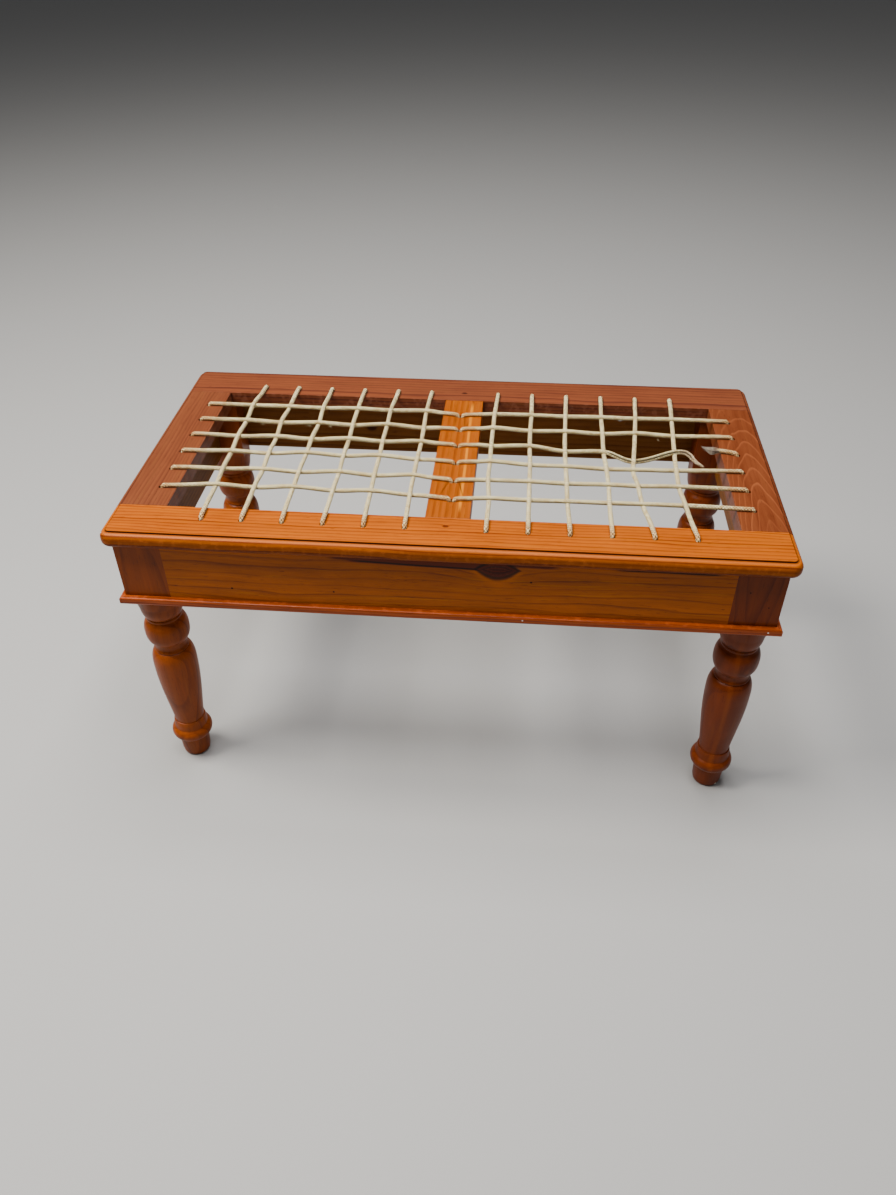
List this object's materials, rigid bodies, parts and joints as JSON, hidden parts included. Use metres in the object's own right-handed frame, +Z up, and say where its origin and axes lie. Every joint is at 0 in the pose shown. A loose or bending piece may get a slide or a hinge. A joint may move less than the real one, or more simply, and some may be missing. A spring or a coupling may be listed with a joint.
{
  "type": "entryway bench",
  "caption": "Low pine bench on turned legs, its frame top divided into two openings laced with cotton cord.",
  "frame": {"origin": "on the floor under the middle of the top frame", "axes": "+X along the bench to its right end, +Y to its back, +Z up"},
  "size_m": [0.85, 0.454, 0.4343],
  "materials": {
    "varnished_top": "glossy orange-brown varnish on pine",
    "varnished_apron": "glossy brown varnish on pine",
    "varnished_leg": "glossy red-brown varnish on turned pine",
    "varnished_bead": "glossy red-brown varnish",
    "raw_pine": "bare planed pine",
    "steel": "zinc-plated steel",
    "cotton_cord": "matt off-white braided cotton"
  },
  "bodies": {
    "root": {"top_front_rail": "varnished_top", "top_back_rail": "varnished_top", "top_left_rail": "varnished_top", "top_right_rail": "varnished_top", "top_centre_rail": "varnished_top", "apron_front": "varnished_apron", "apron_back": "varnished_apron", "apron_left": "varnished_apron", "apron_right": "varnished_apron", "leg_front_left": "varnished_leg", "leg_front_right": "varnished_leg", "leg_back_left": "varnished_leg", "leg_back_right": "varnished_leg", "bead_front": "varnished_bead", "bead_back": "varnished_bead", "bead_left": "varnished_bead", "bead_right": "varnished_bead", "leg_dowels": "raw_pine", "top_fixing_blocks": "raw_pine", "top_fixing_screws": "steel", "bead_pins": "steel", "left_columns_cord": "cotton_cord", "right_columns_cord": "cotton_cord", "left_rows_cord": "cotton_cord", "right_rows_back_cord": "cotton_cord", "right_rows_front_cord": "cotton_cord", "cord_end_knots": "cotton_cord", "broken_tail": "cotton_cord"}
  },
  "joints": []
}
